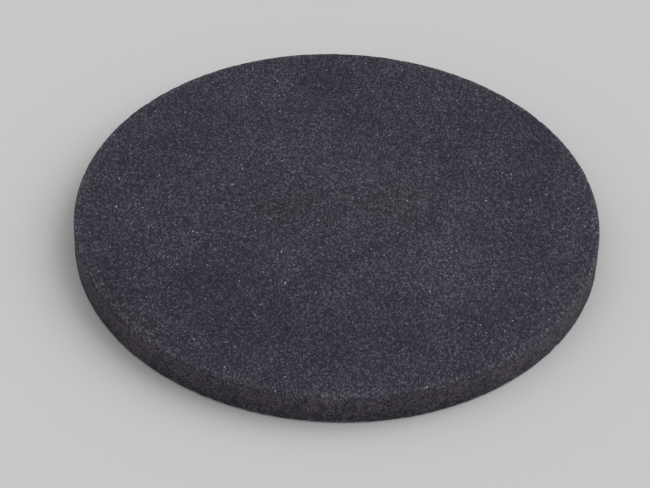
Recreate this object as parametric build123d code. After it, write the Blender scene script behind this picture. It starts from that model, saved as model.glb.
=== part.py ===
"""Sputtering target: one round plate of sintered copper antimonide, three inches across.

The plate is pressed and sintered whole, then ground flat on both faces and round on the rim,
so it is a single solid of revolution. It lies on its back face: +Z points from the back face,
which beds on the cathode, to the front face, which is sputtered. The origin is the centre of
the back face.
"""
from build123d import *
import os

# Driving dimensions, in millimetres.
plate_diameter = 76.2
plate_thickness = 5.0
front_edge_round = 0.4
back_edge_round = 0.4

# Places worked out from them.
rim_radius = plate_diameter / 2
back_flat_radius = rim_radius - back_edge_round
front_flat_radius = rim_radius - front_edge_round
rim_top = plate_thickness - front_edge_round


def half_section():
    """Half of the plate's section in the XZ plane, from the axis out to the ground rim."""
    with BuildSketch(Plane.XZ) as section:
        with BuildLine():
            back_face = Line((0, 0), (back_flat_radius, 0))
            back_edge = RadiusArc(
                back_face @ 1, (rim_radius, back_edge_round), -back_edge_round
            )
            rim = Line(back_edge @ 1, (rim_radius, rim_top))
            front_edge = RadiusArc(
                rim @ 1, (front_flat_radius, plate_thickness), -front_edge_round
            )
            front_face = Line(front_edge @ 1, (0, plate_thickness))
            Line(front_face @ 1, back_face @ 0)
        make_face()
    return section.sketch


def target_plate():
    """The whole target: its half section turned once round the axis."""
    with BuildPart() as plate:
        add(half_section())
        revolve(axis=Axis.Z)
    return plate.part


os.makedirs("parts", exist_ok=True)
export_step(target_plate(), "parts/target_plate.step")
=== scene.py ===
import math

import bpy
import numpy as np
from mathutils import Matrix, Vector


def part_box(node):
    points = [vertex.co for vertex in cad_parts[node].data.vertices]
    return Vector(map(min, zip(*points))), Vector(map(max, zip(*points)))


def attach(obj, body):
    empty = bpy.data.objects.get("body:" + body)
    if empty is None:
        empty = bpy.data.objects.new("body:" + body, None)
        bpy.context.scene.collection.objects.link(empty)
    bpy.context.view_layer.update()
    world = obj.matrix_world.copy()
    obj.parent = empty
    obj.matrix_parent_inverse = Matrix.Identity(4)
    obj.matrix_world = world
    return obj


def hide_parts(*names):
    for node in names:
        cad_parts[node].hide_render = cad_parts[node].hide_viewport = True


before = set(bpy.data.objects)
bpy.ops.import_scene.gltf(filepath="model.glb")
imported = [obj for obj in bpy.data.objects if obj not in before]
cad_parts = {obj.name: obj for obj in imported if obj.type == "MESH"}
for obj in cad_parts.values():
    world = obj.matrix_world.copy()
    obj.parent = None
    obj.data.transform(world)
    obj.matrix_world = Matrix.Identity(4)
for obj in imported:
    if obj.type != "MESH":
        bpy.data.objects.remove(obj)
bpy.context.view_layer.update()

# The sputtering target: one round plate, pressed and sintered whole and then ground. It has a
# single mesh that stands for the imported solid, and carries the grain of the sintered compound.
# Lengths are in metres, and those given as numbers are in millimetres times MM, apart from the
# lists of stains. A seed starts the random numbers of one pattern.
MM = 0.001

# The plate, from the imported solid, and the round on each of its edges.
plate_low, plate_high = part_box("target_plate")
RIM_RADIUS = (plate_high[0] - plate_low[0]) / 2
THICKNESS = plate_high[2] - plate_low[2]
EDGE_ROUND = 0.4 * MM
FLAT_RADIUS = RIM_RADIUS - EDGE_ROUND

# The mesh: a grid over each face, and a band of rings from one face over the rim to the other,
# which starts EDGE_BAND before the edge round.
GRID_CELLS = 196
EDGE_BAND = 0.8 * MM
GRID_RADIUS = FLAT_RADIUS - EDGE_BAND
EDGE_FLAT_STEPS = 3
EDGE_ROUND_STEPS = 5
WALL_STEPS = 12

# Relief, all of it cut inwards so that the plate never outgrows its solid.
LATTICE_CELLS = 64
FACE_WAVE_PITCH, FACE_WAVE_DEPTH, FACE_WAVE_SEED = 2.2 * MM, 0.012 * MM, 11
FACE_LUMP_PITCH, FACE_LUMP_DEPTH, FACE_LUMP_SEED = 0.9 * MM, 0.014 * MM, 12
WALL_WAVE_PITCH, WALL_WAVE_DEPTH, WALL_WAVE_SEED = 1.9 * MM, 0.045 * MM, 21
WALL_LUMP_PITCH, WALL_LUMP_DEPTH, WALL_LUMP_SEED = 0.8 * MM, 0.05 * MM, 22
EDGE_CRUMBLE_PITCH, EDGE_CRUMBLE_DEPTH, EDGE_CRUMBLE_SEED = 0.8 * MM, 0.08 * MM, 23

# Chips along both edges, where grains have broken out. How far a chip's centre lies out from
# the flat and down from the face are shares of the edge round.
CHIPS_PER_EDGE = 90
CHIP_SEED = 31
CHIP_OUT_LEAST, CHIP_OUT_MOST = -0.5, 1.0
CHIP_DOWN_MOST = 0.7
CHIP_RADIUS_SMALL, CHIP_RADIUS_LARGE = 0.25 * MM, 0.65 * MM
CHIP_RADIUS_SKEW = 3
CHIP_OUTLINE_PITCH, CHIP_OUTLINE_SEED = 0.5 * MM, 32
CHIP_OUTLINE_LEAST, CHIP_OUTLINE_SPREAD = 0.7, 0.6
CHIP_DEPTH_SHARE = 0.14
# Shade painted into the chips, growing with a chip's depth and whole at this depth.
CHIP_SHADE_FULL_DEPTH = 0.04 * MM
CHIP_PAINTED_SHADE = 0.92

# The grain of the compound. The powder itself is under 0.1 mm across, and is drawn as coarse
# as it needs to be to show in the picture, where this pitch is little more than a pixel. Here
# and below, a brightness is a share of the paint's own. The grains lie GRAIN_LAY times as long
# along Y as across it, and a higher GRAIN_SKEW leaves fewer bright ones. Pores start and end
# at shares of the pitch from a grain's middle.
GRAIN_PITCH = 0.185 * MM
GRAIN_LAY = 1.5
GRAIN_SKEW = 2.8
GRAIN_DULL, GRAIN_BRIGHT = 0.64, 2.96
WALL_GRAIN_DULL, WALL_GRAIN_BRIGHT = 0.32, 2.15
PORE_START, PORE_END = 0.25, 0.75
PORE_DARK = 0.6
GRAIN_RELIEF = 0.05 * MM
RELIEF_STRENGTH = 0.5

# Painted shade of shallow pits on the wall, darkest where their noise is under WALL_PIT_WHOLE.
WALL_PIT_PITCH = 1.3 * MM
WALL_PIT_WHOLE, WALL_PIT_END = 0.38, 0.53
WALL_PIT_PAINTED_SHADE = 0.66

# Cleaved crystals, smoother than the grain and painted brighter, partly as a paler crystal and
# partly as a painted glint. This share of the places has none.
CRYSTAL_PITCH = 0.64 * MM
CRYSTAL_RADIUS = 0.12 * MM
CRYSTAL_NONE = 0.3
CRYSTAL_PALE_AND_GLINT = 5.8
CRYSTALS_ON_WALL = 0.25

# The compound is an intermetallic, and its ground, porous surface shines less than a plain
# metal's, so it is only partly metallic. These values are matched to the object, and a crystal
# is smoother than the dull grain.
METALLIC = 0.4
SPECULAR_LEVEL = 0.3
DULL_ROUGHNESS, CRYSTAL_ROUGHNESS = 0.8, 0.5

# Firing stains on the front face: x, y and radius of each in millimetres, and its strength.
PALE_STAINS = [
    (-8, 15, 13, 0.11),
    (-7, -10, 7, 0.10),
    (17, -12, 13, 0.21),
    (8, 5, 14, 0.04),
]
DARK_STAINS = [
    (-21, -15, 6, -0.10),
    (1, 12, 3, -0.10),
    (11, -27, 4, -0.14),
    (20, -27, 3, -0.10),
    (29, -8, 7, -0.16),
    (27, -8, 20, -0.06),
    (-27, 2, 13, -0.07),
    (-1, 32, 8, -0.12),
    (-10, 32, 7, -0.14),
    (-34, -22, 10, -0.06),
    (-29, -27, 9, -0.07),
]
# Places where the blue tarnish lies thicker, and brown ones where it is thin, written alike.
BLUE_STAINS = [
    (-18, -16, 11, 0.75),
    (-12, -23, 10, 0.6),
    (0, -27, 9, 0.35),
    (10, -28, 6, 0.6),
    (-24, 20, 11, 0.12),
    (24, 21, 7, 0.25),
]
BROWN_STAINS = [
    (8, 5, 14, -0.09),
    (-34, 6, 9, -0.4),
    (27, -8, 20, -0.24),
    (-33, -21, 12, -0.38),
    (-28, -28, 9, -0.38),
]
# A faint dark line across the front face, between these two places.
DARK_LINE_START, DARK_LINE_END = (14 * MM, -1.5 * MM), (-5 * MM, -15 * MM)
DARK_LINE_REACH = 1.8 * MM
DARK_LINE_TONE = 0.84
# Clouds left by the firing.
CLOUD_PITCH = 11 * MM
CLOUD_DARK, CLOUD_PALE = 0.76, 1.26

# The blue tarnish, as a thickness that is near 1 over most of the plate. What lies under it is
# palest where there is none and darkest at HAZE_MOST, and its colour turns from violet to blue
# between HAZE_TURNS and HAZE_TURNED. Its belt starts and is whole at radii that wander in and
# out round the two given here.
HAZE_MOST = 2
HAZE_THIN_TONE, HAZE_THICK_TONE = 1.31, 0.63
HAZE_TURNS, HAZE_TURNED = 0.5, 2.0
HAZE_PITCH, HAZE_DRIFT = 17 * MM, 0.25
HAZE_IN_MIDDLE, HAZE_IN_BELT, HAZE_ON_WALL = 0.76, 1.05, 0.75
BELT_STARTS, BELT_WHOLE = RIM_RADIUS / 10, 4 / 5 * RIM_RADIUS
WANDER_PITCH, WANDER_REACH = 9 * MM, 4 * MM

# From the face to the wall: a paler margin on the face, partly rubbed wear and partly a painted
# highlight along the edge, and the browner wall. The wall starts and is whole at these depths
# below a face, along a line that noise makes ragged, and has painted shade that makes it darker
# from the front face down to the back one.
MARGIN_WIDTH = 1.8 * MM
# The paler margin at the edge: rubbed wear with a painted highlight.
MARGIN_WEAR_AND_HIGHLIGHT = 1.42
BROWN_MARGIN_WIDTH = 3 * MM
BROWN_MARGIN_SHARE = 0.58
WALL_STARTS, WALL_WHOLE = 0.45 * MM, 0.85 * MM
RAGGED_PITCH = 1.2 * MM
RAGGED_LEAST, RAGGED_MOST = 0.5, 2.0
# Painted light and shade down the wall: lighter by the front face, darker at its foot.
WALL_FOOT_PAINTED_SHADE, WALL_TOP_PAINTED_LIGHT = 1.08, 1.86

# How a noise is built up: how many finer layers it has, and how strong each of them is beside
# the one before. Nearly all of it lies between the two values of its span.
RAGGED_NOISE = {"Scale": 1 / RAGGED_PITCH, "Detail": 2, "Roughness": 0.5}
WALL_PIT_NOISE = {"Scale": 1 / WALL_PIT_PITCH, "Detail": 3, "Roughness": 0.6}
CLOUD_NOISE = {"Scale": 1 / CLOUD_PITCH, "Detail": 4, "Roughness": 0.6}
HAZE_NOISE = {"Scale": 1 / HAZE_PITCH, "Detail": 5, "Roughness": 0.6}
WANDER_NOISE = {"Scale": 1 / WANDER_PITCH, "Detail": 3, "Roughness": 0.5}
WIDE_SPAN = {"From Min": 0.25, "From Max": 0.75}
NARROW_SPAN = {"From Min": 0.3, "From Max": 0.7}

# Colours, as sRGB hex. A haze colour is what one thickness of tarnish adds to the paint.
FACE_GREY = "#3C393F"
WALL_BROWN = "#3B373B"
THIN_HAZE, THICK_HAZE = "#010319", "#010819"
PALE_FLOOR = "#C8C8C8"

# Kinds of shader node.
MATH, VECTOR_MATH, MAP_RANGE = "ShaderNodeMath", "ShaderNodeVectorMath", "ShaderNodeMapRange"
NOISE, VORONOI = "ShaderNodeTexNoise", "ShaderNodeTexVoronoi"
MIX, MIX_COLOUR = "ShaderNodeMix", "ShaderNodeMixRGB"
SEPARATE_XYZ, SEPARATE_COLOUR = "ShaderNodeSeparateXYZ", "ShaderNodeSeparateColor"

# The stage.
FLOOR_WIDTH = 4000 * MM
SUN_AZIMUTH = math.radians(10)
SUN_ELEVATION = math.radians(44)
SUN_SPREAD = math.radians(60)
EVEN_LIGHT = 0.69

# The camera, fitted to the outline of the plate in the photograph. Its place is measured from
# the centre of the back face. The picture's width and the focal length are in pixels, and the
# sensor's width is in millimetres.
PICTURE_WIDTH = 650
FOCAL_PIXELS = 2825.06
SENSOR_WIDTH = 36
CAMERA_ELEVATION = math.radians(41.347)
CAMERA_ROLL = math.radians(1.697)
CAMERA_DISTANCE = 10.832 * RIM_RADIUS
CAMERA_RIGHT = -0.043 * RIM_RADIUS
CAMERA_UP = -0.019 * RIM_RADIUS


def lattice_noise(points, pitch, seed):
    """Smooth noise from 0 to 1. Each corner of a cubic lattice of this pitch holds a random
    number, and a point blends its eight corners by the fade 6t^5 - 15t^4 + 10t^3 along each
    axis. The lattice repeats after LATTICE_CELLS cells."""
    rng = np.random.default_rng(seed)
    corner_values = rng.random((LATTICE_CELLS, LATTICE_CELLS, LATTICE_CELLS))
    scaled = points / pitch
    cell = np.floor(scaled).astype(int)
    t = scaled - cell
    fade = t * t * t * (t * (6 * t - 15) + 10)
    total = np.zeros(len(points))
    for corner in np.ndindex(2, 2, 2):
        weight = np.prod(np.where(corner, fade, 1 - fade), axis=1)
        index = (cell + corner) % LATTICE_CELLS
        total += weight * corner_values[index[:, 0], index[:, 1], index[:, 2]]
    return total


def disc_grid(cells):
    """X and Y over a unit disc, from a square grid. The square ring at distance m from the
    middle becomes the circle of radius m, and a point's place along its side of that ring
    becomes its angle, so that half a side turns 45 degrees."""
    side = np.linspace(-1, 1, cells + 1)
    a, b = np.meshgrid(side, side, indexing="ij")
    along_a = np.abs(a) >= np.abs(b)
    radius = np.where(along_a, a, b)
    share = np.where(along_a, b, a) / np.where(radius == 0, 1, radius)
    angle = np.where(along_a, share, 2 - share) * math.pi / 4
    return radius * np.cos(angle), radius * np.sin(angle)


def rim_section():
    """Radius, height and tilt of the section's outward direction, from the edge of the front
    face's grid over the rim to that of the back face's. It is the outer side of a circle of
    the edge round's radius, whose centre runs out, down and in again, and which turns a
    quarter at each corner."""
    turn = np.linspace(0, math.pi / 2, EDGE_ROUND_STEPS + 1)
    run_out = np.linspace(GRID_RADIUS, FLAT_RADIUS, EDGE_FLAT_STEPS + 1)
    run_down = np.linspace(THICKNESS - EDGE_ROUND, EDGE_ROUND, WALL_STEPS + 1)
    corner = np.full(EDGE_ROUND_STEPS + WALL_STEPS + EDGE_ROUND_STEPS - 1, FLAT_RADIUS)
    centre_radius = np.concatenate([run_out, corner, run_out[::-1]])
    top = np.full(EDGE_FLAT_STEPS + EDGE_ROUND_STEPS, THICKNESS - EDGE_ROUND)
    bottom = np.full(EDGE_FLAT_STEPS + EDGE_ROUND_STEPS, EDGE_ROUND)
    centre_height = np.concatenate([top, run_down, bottom])
    flat = np.full(EDGE_FLAT_STEPS, math.pi / 2)
    wall = np.zeros(WALL_STEPS - 1)
    tilt = np.concatenate([flat, turn[::-1], wall, -turn, -flat])
    radius = centre_radius + EDGE_ROUND * np.cos(tilt)
    height = centre_height + EDGE_ROUND * np.sin(tilt)
    return radius, height, tilt


def smooth_plate():
    """Points, outward directions and quads of the plate before its relief: the grid of the
    front face, the rings of the rim's section turned round the axis, and the grid of the back
    face. The first and last rings are the borders of the two grids."""
    n = GRID_CELLS
    x, y = disc_grid(n)
    flat = np.column_stack([x.ravel() * GRID_RADIUS, y.ravel() * GRID_RADIUS])
    front = np.column_stack([flat, np.full(len(flat), THICKNESS)])
    back = np.column_stack([flat, np.zeros(len(flat))])

    # The rings between the borders, each with a point for each point of the border.
    radius, height, tilt = (values[1:-1, None] for values in rim_section())
    turn = math.pi / 2 * (np.arange(4 * n) / n - 0.5)[None, :]
    level = np.ones_like(turn)
    rings = np.stack([radius * np.cos(turn), radius * np.sin(turn), height * level], axis=-1)
    ring_out = np.stack(
        [np.cos(tilt) * np.cos(turn), np.cos(tilt) * np.sin(turn), np.sin(tilt) * level], axis=-1
    )
    up = np.tile([0.0, 0.0, 1.0], (len(flat), 1))
    points = np.concatenate([front, rings.reshape(-1, 3), back])
    out = np.concatenate([up, ring_out.reshape(-1, 3), -up])

    # The border of a grid, in the order of its angle.
    index = np.arange((n + 1) ** 2).reshape(n + 1, n + 1)
    border = np.concatenate(
        [index[n, :n], index[n:0:-1, n], index[0, n:0:-1], index[:n, 0]]
    )
    back_start = len(points) - len(back)
    middle = np.arange(len(front), back_start).reshape(-1, 4 * n)
    ring_index = np.vstack([border, middle, back_start + border])

    front_quads = quads_of(index)
    band_quads = quads_of(np.hstack([ring_index, ring_index[:, :1]]))
    back_quads = back_start + front_quads[:, ::-1]
    return points, out, np.concatenate([front_quads, band_quads, back_quads])


def quads_of(index):
    """The four corners of each cell of a grid of point numbers, row by column."""
    corners = [index[:-1, :-1], index[1:, :-1], index[1:, 1:], index[:-1, 1:]]
    return np.stack(corners, axis=-1).reshape(-1, 4)


def edge_chips(points):
    """Depth of the scoops where grains have broken from the two edges. Each chip has a centre
    at a random angle on an edge, every other one on the front edge, and cuts a bowl whose
    depth falls with the square of the distance from there. Noise makes its outline uneven, and
    where chips meet, the deepest one counts."""
    rng = np.random.default_rng(CHIP_SEED)
    count = 2 * CHIPS_PER_EDGE
    turn = rng.uniform(0, 2 * math.pi, count)
    reach = FLAT_RADIUS + rng.uniform(CHIP_OUT_LEAST, CHIP_OUT_MOST, count) * EDGE_ROUND
    low = rng.uniform(0, CHIP_DOWN_MOST, count) * EDGE_ROUND
    height = np.where(np.arange(count) % 2, THICKNESS - low, low)
    centre = np.column_stack([reach * np.cos(turn), reach * np.sin(turn), height])
    large = rng.random(count) ** CHIP_RADIUS_SKEW
    size = CHIP_RADIUS_SMALL + (CHIP_RADIUS_LARGE - CHIP_RADIUS_SMALL) * large
    near = np.hypot(points[:, 0], points[:, 1]) > GRID_RADIUS
    outline = lattice_noise(points[near], CHIP_OUTLINE_PITCH, CHIP_OUTLINE_SEED)
    uneven = CHIP_OUTLINE_LEAST + CHIP_OUTLINE_SPREAD * outline
    away = np.linalg.norm(points[near][:, None] - centre[None], axis=2)
    bowl = 1 - (away / (size[None] * uneven[:, None])) ** 2
    deepest = np.zeros(len(points))
    deepest[near] = (bowl.clip(0) * size * CHIP_DEPTH_SHARE).max(axis=1)
    return deepest


def ground_relief(points, out):
    """How far each point lies in from the smooth plate. The faces have low waves and lumps,
    the wall has deeper ones, and the edges crumble. The wall's share is the square of the
    level part of the outward direction, and the edge's is twice its level part times its
    upright part, which is 1 halfway round."""
    sideways = np.hypot(out[:, 0], out[:, 1])
    wall = sideways ** 2
    edge = 2 * sideways * np.abs(out[:, 2])
    face_cut = FACE_WAVE_DEPTH * lattice_noise(points, FACE_WAVE_PITCH, FACE_WAVE_SEED)
    face_cut += FACE_LUMP_DEPTH * lattice_noise(points, FACE_LUMP_PITCH, FACE_LUMP_SEED)
    wall_cut = WALL_WAVE_DEPTH * lattice_noise(points, WALL_WAVE_PITCH, WALL_WAVE_SEED)
    wall_cut += WALL_LUMP_DEPTH * lattice_noise(points, WALL_LUMP_PITCH, WALL_LUMP_SEED)
    crumble = lattice_noise(points, EDGE_CRUMBLE_PITCH, EDGE_CRUMBLE_SEED)
    edge_cut = EDGE_CRUMBLE_DEPTH * crumble ** 2
    return (1 - wall) * face_cut + wall * wall_cut + edge * edge_cut


def make_plate():
    """The sintered plate: the smooth plate with each point moved in along its outward
    direction by the relief and the chips. The attribute "broken" grows with the depth of a
    chip, from 0 outside it to 1 where the shade painted into the chip is whole."""
    points, out, quads = smooth_plate()
    chips = edge_chips(points)
    cut = ground_relief(points, out) + chips
    points = points - out * cut[:, None]
    mesh = bpy.data.meshes.new("sintered_plate")
    mesh.from_pydata(points, [], quads.tolist())
    mesh.polygons.foreach_set("use_smooth", np.ones(len(quads), bool))
    broken = mesh.attributes.new("broken", "FLOAT", "POINT")
    broken.data.foreach_set("value", (chips / CHIP_SHADE_FULL_DEPTH).clip(0, 1))
    mesh.update()
    plate = bpy.data.objects.new("sintered_plate", mesh)
    bpy.context.scene.collection.objects.link(plate)
    return plate


def linear(hex_colour):
    """A colour written as sRGB hex, in the linear values that a shader takes."""
    channels = np.array([int(hex_colour[i:i + 2], 16) for i in (1, 3, 5)]) / 255
    light = np.where(channels <= 0.04045, channels / 12.92, ((channels + 0.055) / 1.055) ** 2.4)
    return (*light.tolist(), 1.0)


def add_node(tree, kind, inputs=None, **settings):
    """Adds a node with its settings. Each input gets a value, or a link from an output or from
    a node's first output."""
    node = tree.nodes.new(kind)
    for name, value in settings.items():
        setattr(node, name, value)
    for name, value in (inputs or {}).items():
        if isinstance(value, bpy.types.Node):
            value = value.outputs[0]
        if isinstance(value, bpy.types.NodeSocket):
            tree.links.new(value, node.inputs[name])
        else:
            node.inputs[name].default_value = value
    return node


def axis_distance(tree, place):
    """Distance from the plate's axis, with the height left out."""
    level = add_node(tree, VECTOR_MATH, {0: place, 1: (1, 1, 0)}, operation="MULTIPLY")
    return add_node(tree, VECTOR_MATH, {0: level}, operation="LENGTH").outputs["Value"]


def wandering_radius(tree, place, radius):
    """Distance from the axis, moved in and out by noise, so that a ring drawn by it wanders."""
    wander = add_node(tree, NOISE, {"Vector": place, **WANDER_NOISE})
    wander = add_node(
        tree, MAP_RANGE,
        {"Value": wander, **WIDE_SPAN, "To Min": -WANDER_REACH, "To Max": WANDER_REACH},
    )
    return add_node(tree, MATH, {0: radius, 1: wander}, operation="ADD")


def wall_share(tree, place):
    """0 on the faces and 1 on the wall. It goes over just below the edge, along a ragged line,
    because the depth below the nearer face is stretched by noise."""
    height = add_node(tree, SEPARATE_XYZ, {0: place}).outputs["Z"]
    off_middle = add_node(tree, MATH, {0: height, 1: THICKNESS / 2}, operation="SUBTRACT")
    off_middle = add_node(tree, MATH, {0: off_middle}, operation="ABSOLUTE")
    depth = add_node(tree, MATH, {0: THICKNESS / 2, 1: off_middle}, operation="SUBTRACT")
    uneven = add_node(tree, NOISE, {"Vector": place, **RAGGED_NOISE})
    stretch = add_node(
        tree, MAP_RANGE,
        {"Value": uneven, **NARROW_SPAN, "To Min": RAGGED_LEAST, "To Max": RAGGED_MOST},
    )
    stretched = add_node(tree, MATH, {0: depth, 1: stretch}, operation="MULTIPLY")
    return add_node(
        tree, MAP_RANGE,
        {"Value": stretched, "From Min": WALL_STARTS, "From Max": WALL_WHOLE},
        interpolation_type="SMOOTHSTEP",
    )


def brown_share(tree, radius, wall):
    """0 on the face and 1 on the wall, with a part of it already in the margin of the face."""
    margin = add_node(
        tree, MAP_RANGE,
        {
            "Value": radius, "From Min": RIM_RADIUS - BROWN_MARGIN_WIDTH, "From Max": RIM_RADIUS,
            "To Max": BROWN_MARGIN_SHARE,
        },
        interpolation_type="SMOOTHSTEP",
    )
    return add_node(tree, MATH, {0: margin, 1: wall}, operation="MAXIMUM")


def packed_grains(tree, lay, wall):
    """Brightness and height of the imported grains. Each grain has its own brightness, and falls
    off darker and lower towards the pores round it. On the faces, where they are ground flat,
    most are dull and a few bright. On the wall all shades are as common."""
    grains = add_node(tree, VORONOI, {"Vector": lay, "Scale": 1 / GRAIN_PITCH})
    chance = add_node(tree, SEPARATE_COLOUR, {"Color": grains.outputs["Color"]})
    fresh = add_node(tree, MATH, {0: chance, 1: GRAIN_SKEW}, operation="POWER")
    on_face = add_node(
        tree, MAP_RANGE, {"Value": fresh, "To Min": GRAIN_DULL, "To Max": GRAIN_BRIGHT}
    )
    on_wall = add_node(
        tree, MAP_RANGE, {"Value": chance, "To Min": WALL_GRAIN_DULL, "To Max": WALL_GRAIN_BRIGHT}
    )
    own = add_node(tree, MIX, {"Factor": wall, "A": on_face, "B": on_wall})
    pore = add_node(
        tree, MAP_RANGE,
        {
            "Value": grains.outputs["Distance"], "From Min": PORE_START, "From Max": PORE_END,
            "To Min": 1, "To Max": PORE_DARK,
        },
        interpolation_type="SMOOTHSTEP",
    )
    tone = add_node(tree, MATH, {0: own, 1: pore}, operation="MULTIPLY")
    height = add_node(
        tree, MATH, {0: chance, 1: grains.outputs["Distance"]}, operation="SUBTRACT"
    )
    return tone, height


def crystal_glints(tree, lay, wall):
    """How strongly a cleaved crystal shows at each place: it makes the crystal smoother, and
    paler with a painted glint. Crystals lie far apart and differ in strength, and the wall has
    fewer of them. A glint is whole within half its radius."""
    crystals = add_node(tree, VORONOI, {"Vector": lay, "Scale": 1 / CRYSTAL_PITCH})
    chance = add_node(tree, SEPARATE_COLOUR, {"Color": crystals.outputs["Color"]})
    strength = add_node(tree, MAP_RANGE, {"Value": chance, "From Min": CRYSTAL_NONE})
    size = CRYSTAL_RADIUS / CRYSTAL_PITCH
    spot = add_node(
        tree, MAP_RANGE,
        {"Value": crystals.outputs["Distance"], "From Min": size, "From Max": size / 2},
        interpolation_type="SMOOTHSTEP",
    )
    kept = add_node(tree, MAP_RANGE, {"Value": wall, "To Min": 1, "To Max": CRYSTALS_ON_WALL})
    glint = add_node(tree, MATH, {0: spot, 1: strength}, operation="MULTIPLY")
    return add_node(tree, MATH, {0: glint, 1: kept}, operation="MULTIPLY")


def chip_painted_shade(tree):
    """Brightness of the chips, with shade painted in that makes them a little darker than the
    ground surface.
    """
    broken = add_node(tree, "ShaderNodeAttribute", attribute_name="broken").outputs["Fac"]
    return add_node(tree, MAP_RANGE, {"Value": broken, "To Min": 1, "To Max": CHIP_PAINTED_SHADE})


def wall_pit_shade(tree, place, wall):
    """Brightness of the painted shade of the wall's shallow pits, which are 1 to 2 mm wide."""
    rough = add_node(tree, NOISE, {"Vector": place, **WALL_PIT_NOISE})
    pit = add_node(
        tree, MAP_RANGE,
        {
            "Value": rough, "From Min": WALL_PIT_WHOLE, "From Max": WALL_PIT_END,
            "To Min": WALL_PIT_PAINTED_SHADE,
        },
        interpolation_type="SMOOTHSTEP",
    )
    return add_node(tree, MIX, {"Factor": wall, "A": 1, "B": pit})


def margin_highlight_and_wall_shade(tree, place, radius, wall):
    """Brightness from the paler margin of the face, partly rubbed wear and partly a painted
    highlight along the edge, down the wall, with painted shade that makes it darker at its foot.
    """
    # Paler margin: rubbed wear and a painted highlight along the edge.
    margin = add_node(
        tree, MAP_RANGE,
        {
            "Value": radius, "From Min": RIM_RADIUS - MARGIN_WIDTH, "From Max": RIM_RADIUS,
            "To Min": 1, "To Max": MARGIN_WEAR_AND_HIGHLIGHT,
        },
        interpolation_type="SMOOTHSTEP",
    )
    height = add_node(tree, SEPARATE_XYZ, {0: place}).outputs["Z"]
    # Painted shade down the wall: lighter at the top, darker at its foot.
    painted_wall_shade = add_node(
        tree, MAP_RANGE,
        {
            "Value": height, "From Max": THICKNESS,
            "To Min": WALL_FOOT_PAINTED_SHADE, "To Max": WALL_TOP_PAINTED_LIGHT,
        },
    )
    return add_node(tree, MIX, {"Factor": wall, "A": margin, "B": painted_wall_shade})


def add_stains(tree, place, stain_list, start):
    """Adds up soft round stains on the front face. Each is strongest at its centre and fades
    out at its radius."""
    total = start
    for x, y, size, strength in stain_list:
        centre = (x * MM, y * MM, THICKNESS)
        away = add_node(tree, VECTOR_MATH, {0: place, 1: centre}, operation="DISTANCE")
        stain = add_node(
            tree, MAP_RANGE,
            {
                "Value": away.outputs["Value"], "From Max": size * MM,
                "To Min": strength, "To Max": 0,
            },
            interpolation_type="SMOOTHSTEP",
        )
        total = add_node(tree, MATH, {0: total, 1: stain}, operation="ADD")
    return total


def firing_clouds(tree, place, haze):
    """Brightness of the firing stains: clouds of several sizes and the stains that stand out,
    all darker where the tarnish lies thick."""
    cloud = add_node(tree, NOISE, {"Vector": place, **CLOUD_NOISE})
    clouds = add_node(
        tree, MAP_RANGE,
        {"Value": cloud, **WIDE_SPAN, "To Min": CLOUD_DARK, "To Max": CLOUD_PALE},
    )
    stained = add_stains(tree, place, PALE_STAINS + DARK_STAINS, clouds)
    under_haze = add_node(
        tree, MAP_RANGE,
        {
            "Value": haze, "From Max": HAZE_MOST,
            "To Min": HAZE_THIN_TONE, "To Max": HAZE_THICK_TONE,
        },
    )
    return add_node(tree, MATH, {0: stained, 1: under_haze}, operation="MULTIPLY")


def face_dark_line(tree, place):
    """Brightness of the faint dark line across the front face. It is darkest on a straight
    line, and fades out at its reach from the nearest point of that line."""
    (x, y), (end_x, end_y) = DARK_LINE_START, DARK_LINE_END
    line = Vector((end_x - x, end_y - y, 0))
    off_start = add_node(
        tree, VECTOR_MATH, {0: place, 1: (x, y, THICKNESS)}, operation="SUBTRACT"
    )
    ahead = add_node(tree, VECTOR_MATH, {0: off_start, 1: line}, operation="DOT_PRODUCT")
    share = add_node(
        tree, MAP_RANGE, {"Value": ahead.outputs["Value"], "From Max": line.length_squared}
    )
    nearest = add_node(tree, VECTOR_MATH, {0: line, "Scale": share}, operation="SCALE")
    away = add_node(tree, VECTOR_MATH, {0: off_start, 1: nearest}, operation="DISTANCE")
    return add_node(
        tree, MAP_RANGE,
        {
            "Value": away.outputs["Value"], "From Max": DARK_LINE_REACH,
            "To Min": DARK_LINE_TONE, "To Max": 1,
        },
        interpolation_type="SMOOTHSTEP",
    )


def haze_share(tree, place, loose_radius):
    """How thick the blue tarnish lies: thin in the middle of a face, thicker in the belt, in
    drifts, with the stains that stand out."""
    belt = add_node(
        tree, MAP_RANGE,
        {
            "Value": loose_radius, "From Min": BELT_STARTS, "From Max": BELT_WHOLE,
            "To Min": HAZE_IN_MIDDLE, "To Max": HAZE_IN_BELT,
        },
        interpolation_type="SMOOTHSTEP",
    )
    uneven = add_node(tree, NOISE, {"Vector": place, **HAZE_NOISE})
    drift = add_node(
        tree, MAP_RANGE,
        {"Value": uneven, **NARROW_SPAN, "To Min": -HAZE_DRIFT, "To Max": HAZE_DRIFT},
    )
    share = add_node(tree, MATH, {0: belt, 1: drift}, operation="ADD")
    return add_stains(tree, place, BLUE_STAINS + BROWN_STAINS, share)


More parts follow.
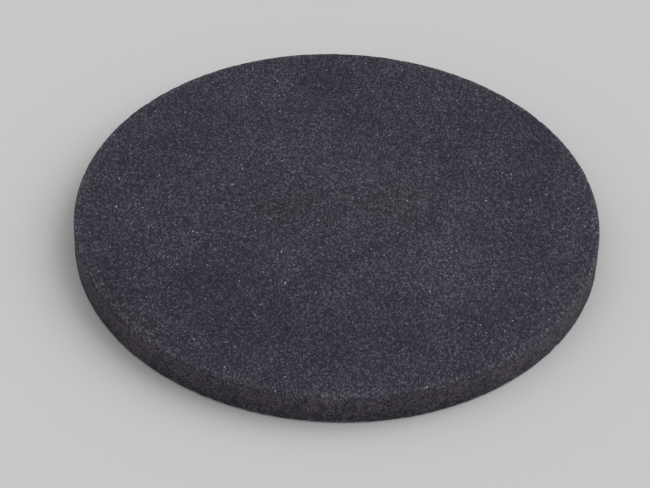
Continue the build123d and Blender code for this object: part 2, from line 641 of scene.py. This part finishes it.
def plate_colour(tree, tone, haze, brown):
    """The plate's colour: the grain's paint, grey on the face and brown at the wall, times the
    brightness, plus the colour of the tarnish times its thickness."""
    grain_colour = add_node(
        tree, MIX_COLOUR,
        {"Fac": brown, "Color1": linear(FACE_GREY), "Color2": linear(WALL_BROWN)},
    )
    grain_colour = add_node(
        tree, VECTOR_MATH, {0: grain_colour, "Scale": tone}, operation="SCALE"
    )
    haze_left = add_node(tree, MAP_RANGE, {"Value": brown, "To Min": 1, "To Max": HAZE_ON_WALL})
    haze = add_node(tree, MATH, {0: haze, 1: haze_left}, operation="MULTIPLY")
    turned = add_node(
        tree, MAP_RANGE, {"Value": haze, "From Min": HAZE_TURNS, "From Max": HAZE_TURNED}
    )
    haze_colour = add_node(
        tree, MIX_COLOUR,
        {"Fac": turned, "Color1": linear(THIN_HAZE), "Color2": linear(THICK_HAZE)},
    )
    haze_colour = add_node(tree, VECTOR_MATH, {0: haze_colour, "Scale": haze}, operation="SCALE")
    return add_node(tree, VECTOR_MATH, {0: grain_colour, 1: haze_colour}, operation="ADD")


def sintered_antimonide():
    """Sintered copper antimonide, ground: crushed grains of a dull grey intermetallic, pressed
    and fired until they join, then ground flat. To the eye it is a dark grey speckle with
    hardly any sheen, in which a few cleaved crystals glint, partly paler and partly a painted
    glint, under a thin blue tarnish that lies in drifts. The faces keep cloudy firing stains,
    the front one with a faint dark line. The margin by the edge is paler, partly rubbed wear and
    partly a painted highlight, and the wall is browner and rougher. Painted shade darkens the
    chips, the wall's pits and the wall towards its foot."""
    material = bpy.data.materials.new("sintered copper antimonide, ground")
    material.use_nodes = True
    tree = material.node_tree
    shader = tree.nodes["Principled BSDF"]
    place = add_node(tree, "ShaderNodeTexCoord").outputs["Object"]
    lay = add_node(tree, VECTOR_MATH, {0: place, 1: (1, 1 / GRAIN_LAY, 1)}, operation="MULTIPLY")
    radius = axis_distance(tree, place)
    wall = wall_share(tree, place)
    haze = haze_share(tree, place, wandering_radius(tree, place, radius))

    # Brightness, as a product of shares.
    tone, grain_height = packed_grains(tree, lay, wall)
    crystal = crystal_glints(tree, lay, wall)
    # Crystals painted brighter: partly a paler crystal, partly a painted glint.
    glint = add_node(tree, MAP_RANGE, {"Value": crystal, "To Min": 1, "To Max": CRYSTAL_PALE_AND_GLINT})
    for share in (
        glint, chip_painted_shade(tree), wall_pit_shade(tree, place, wall),
        margin_highlight_and_wall_shade(tree, place, radius, wall), firing_clouds(tree, place, haze),
        face_dark_line(tree, place),
    ):
        tone = add_node(tree, MATH, {0: tone, 1: share}, operation="MULTIPLY")
    colour = plate_colour(tree, tone, haze, brown_share(tree, radius, wall))
    tree.links.new(colour.outputs["Vector"], shader.inputs["Base Color"])

    bump = add_node(
        tree, "ShaderNodeBump",
        {"Height": grain_height, "Strength": RELIEF_STRENGTH, "Distance": GRAIN_RELIEF},
    )
    tree.links.new(bump.outputs["Normal"], shader.inputs["Normal"])
    roughness = add_node(
        tree, MAP_RANGE,
        {"Value": crystal, "To Min": DULL_ROUGHNESS, "To Max": CRYSTAL_ROUGHNESS},
    )
    tree.links.new(roughness.outputs["Result"], shader.inputs["Roughness"])
    shader.inputs["Metallic"].default_value = METALLIC
    shader.inputs["Specular IOR Level"].default_value = SPECULAR_LEVEL
    return material


def plain_paper():
    """Matt pale paper, under the plate."""
    material = bpy.data.materials.new("matt pale paper")
    material.use_nodes = True
    shader = material.node_tree.nodes["Principled BSDF"]
    shader.inputs["Base Color"].default_value = linear(PALE_FLOOR)
    shader.inputs["Roughness"].default_value = 1
    shader.inputs["Specular IOR Level"].default_value = 0
    return material


def make_floor():
    """A level square far wider than the view, at the height of the plate's back face."""
    half = FLOOR_WIDTH / 2
    corners = [(-half, -half, 0), (half, -half, 0), (half, half, 0), (-half, half, 0)]
    mesh = bpy.data.meshes.new("floor")
    mesh.from_pydata(corners, [], [(0, 1, 2, 3)])
    floor = bpy.data.objects.new("floor", mesh)
    floor.data.materials.append(plain_paper())
    bpy.context.scene.collection.objects.link(floor)
    return floor


def make_light():
    """Even light from all round, and a broad soft sun from the right that makes up the rest,
    so that a level white surface comes out white. A sun straight overhead would need an energy
    of pi for that, and a lower one needs more, by the sine of its elevation."""
    world = bpy.data.worlds.new("even light")
    world.use_nodes = True
    around = world.node_tree.nodes["Background"]
    around.inputs["Color"].default_value = (1, 1, 1, 1)
    around.inputs["Strength"].default_value = EVEN_LIGHT
    bpy.context.scene.world = world

    sun = bpy.data.lights.new("soft sun", "SUN")
    sun.energy = math.pi * (1 - EVEN_LIGHT) / math.sin(SUN_ELEVATION)
    sun.angle = SUN_SPREAD
    lamp = bpy.data.objects.new("soft sun", sun)
    towards = Vector((
        math.cos(SUN_ELEVATION) * math.cos(SUN_AZIMUTH),
        math.cos(SUN_ELEVATION) * math.sin(SUN_AZIMUTH),
        math.sin(SUN_ELEVATION),
    ))
    lamp.rotation_mode = "QUATERNION"
    lamp.rotation_quaternion = towards.to_track_quat("Z", "Y")
    bpy.context.scene.collection.objects.link(lamp)


def make_camera():
    """Looks at the plate from the front and above, at the photograph's angle. The camera is
    turned a little about its own line of sight, and stands a little off the plate's axis."""
    back = Vector((0, -math.cos(CAMERA_ELEVATION), math.sin(CAMERA_ELEVATION)))
    level_right = Vector((1, 0, 0))
    level_up = back.cross(level_right)
    right = math.cos(CAMERA_ROLL) * level_right + math.sin(CAMERA_ROLL) * level_up
    up = math.cos(CAMERA_ROLL) * level_up - math.sin(CAMERA_ROLL) * level_right
    place = CAMERA_RIGHT * right + CAMERA_UP * up + CAMERA_DISTANCE * back
    data = bpy.data.cameras.new("camera")
    data.sensor_width = SENSOR_WIDTH
    data.lens = FOCAL_PIXELS * SENSOR_WIDTH / PICTURE_WIDTH
    camera = bpy.data.objects.new("camera", data)
    turn = Matrix((right, up, back)).transposed().to_4x4()
    camera.matrix_world = Matrix.Translation(place) @ turn
    bpy.context.scene.collection.objects.link(camera)
    bpy.context.scene.camera = camera


plate = make_plate()
plate.data.materials.append(sintered_antimonide())
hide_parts("target_plate")
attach(plate, "root")

make_floor()
make_light()
make_camera()
bpy.context.scene.view_settings.view_transform = "Standard"
